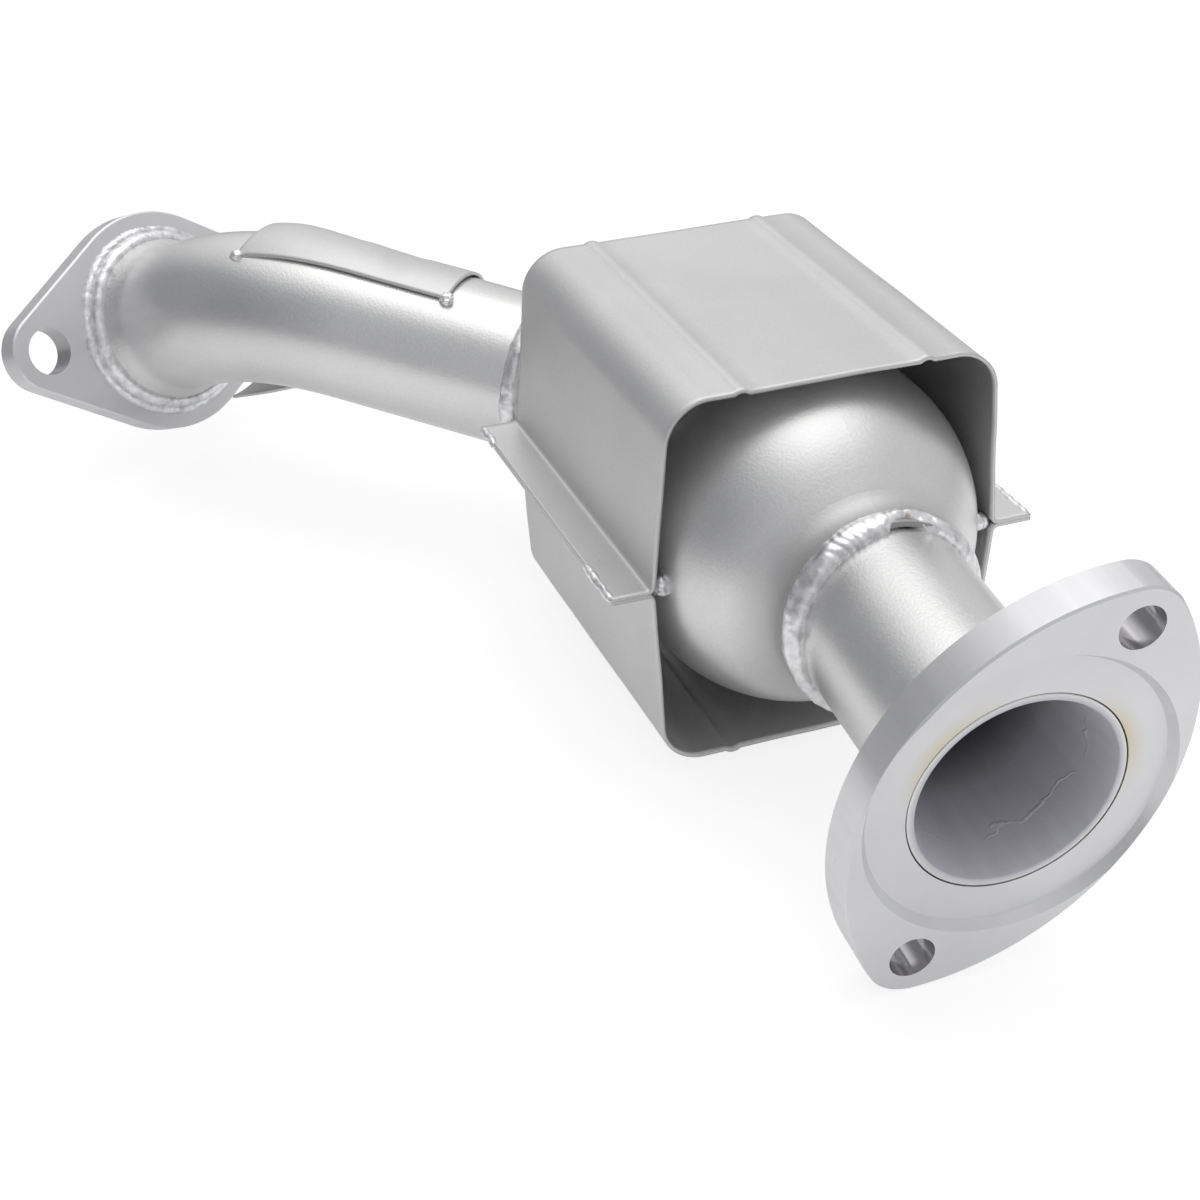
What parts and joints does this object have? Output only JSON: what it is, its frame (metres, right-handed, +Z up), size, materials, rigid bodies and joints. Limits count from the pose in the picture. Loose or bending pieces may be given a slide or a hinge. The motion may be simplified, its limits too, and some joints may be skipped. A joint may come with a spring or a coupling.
{
  "type": "catalytic converter",
  "caption": "Direct-fit catalytic converter: round body in a boxed sheet heat shield, straight outlet and bent inlet pipe, each with a bolted flange.",
  "frame": {"origin": "centre of the outlet flange's mating face, between its two bolt holes", "axes": "+X along the converter's body towards the outlet, +Z up as the part lies on a floor, +Y completes the frame"},
  "size_m": [0.4105, 0.2584, 0.1172],
  "materials": {
    "flange_steel": "satin, pale, with faint turning marks",
    "weld_steel": "rough and bright, with spatter",
    "pipe_steel": "satin, smooth",
    "shell_steel": "satin, smooth",
    "substrate": "matte, fine square cells",
    "mat_fibre": "matte fibre",
    "seal_wire": "knitted wire, matte",
    "shield_sheet": "satin, slightly wavy pressed sheet"
  },
  "bodies": {
    "root": {"outlet_flange": "flange_steel", "outlet_flange_weld": "weld_steel", "outlet_pipe": "pipe_steel", "outlet_neck_weld": "weld_steel", "converter_shell": "shell_steel", "substrate_front": "substrate", "substrate_rear": "substrate", "mat_front": "mat_fibre", "mat_rear": "mat_fibre", "seals_front": "seal_wire", "seals_rear": "seal_wire", "inlet_neck_weld": "weld_steel", "inlet_pipe": "pipe_steel", "inlet_flange_weld": "weld_steel", "inlet_flange": "flange_steel", "pipe_shield": "shield_sheet", "pipe_shield_tacks": "weld_steel", "shield_upper": "shield_sheet", "shield_lower": "shield_sheet", "shield_edge_welds": "weld_steel", "shield_tacks": "weld_steel"}
  },
  "joints": []
}
